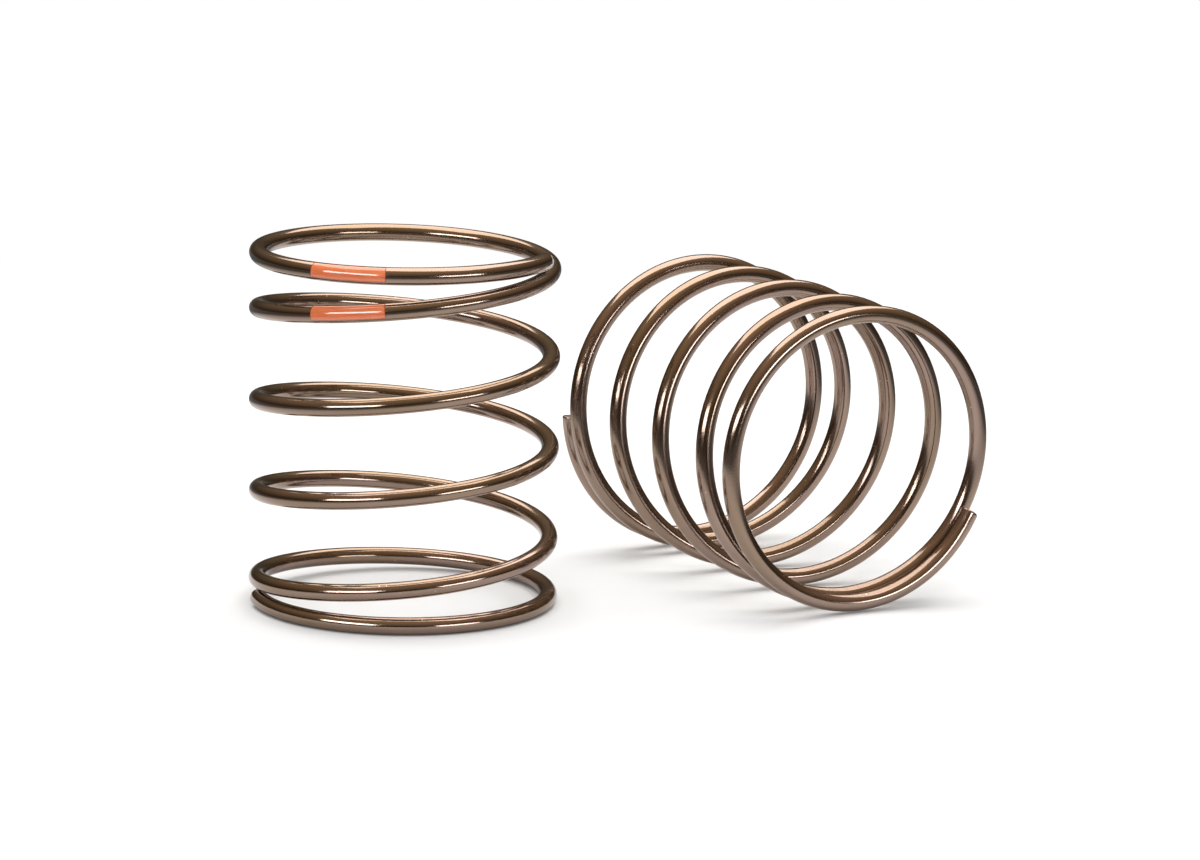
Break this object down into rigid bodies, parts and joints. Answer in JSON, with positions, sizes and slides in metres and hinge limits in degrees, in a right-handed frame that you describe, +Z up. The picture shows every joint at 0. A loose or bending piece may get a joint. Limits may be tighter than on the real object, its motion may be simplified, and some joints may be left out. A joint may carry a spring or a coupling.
{
  "type": "pair of compression springs",
  "caption": "Pair of right-hand helical compression springs with closed ends and orange rate paint, one standing on its end and its twin lying on its side.",
  "frame": {"origin": "middle of the pair's footprint, on the surface that the springs stand and lie on", "axes": "+Z up, along the standing spring's axis; +X from the standing spring towards the lying one; the lying spring's foot end faces -Y and a little +X"},
  "size_m": [0.055, 0.0386, 0.027],
  "materials": {
    "spring_wire": "gloss bronze-brown plating on spring steel wire",
    "rate_paint": "gloss orange paint"
  },
  "bodies": {
    "base": {"standing_foot_coil": "spring_wire", "standing_active_coils": "spring_wire", "lying_foot_coil": "spring_wire", "lying_active_coils": "spring_wire"},
    "standing_head": {"standing_head_coil": "spring_wire", "standing_end_paint_mark": "rate_paint", "standing_second_paint_mark": "rate_paint"},
    "lying_head": {"lying_head_coil": "spring_wire", "lying_end_paint_mark": "rate_paint", "lying_second_paint_mark": "rate_paint"}
  },
  "joints": [
    {"name": "standing_compression", "type": "slide", "parent": "base", "child": "standing_head", "axis": [0, 0, 1], "range_m": [-0.018, 0], "stiffness_N_per_m": 810, "deforming": ["standing_active_coils"]},
    {"name": "lying_compression", "type": "slide", "parent": "base", "child": "lying_head", "axis": [-0.4633, 0.8862, 0], "range_m": [-0.018, 0], "stiffness_N_per_m": 810, "deforming": ["lying_active_coils"]}
  ]
}
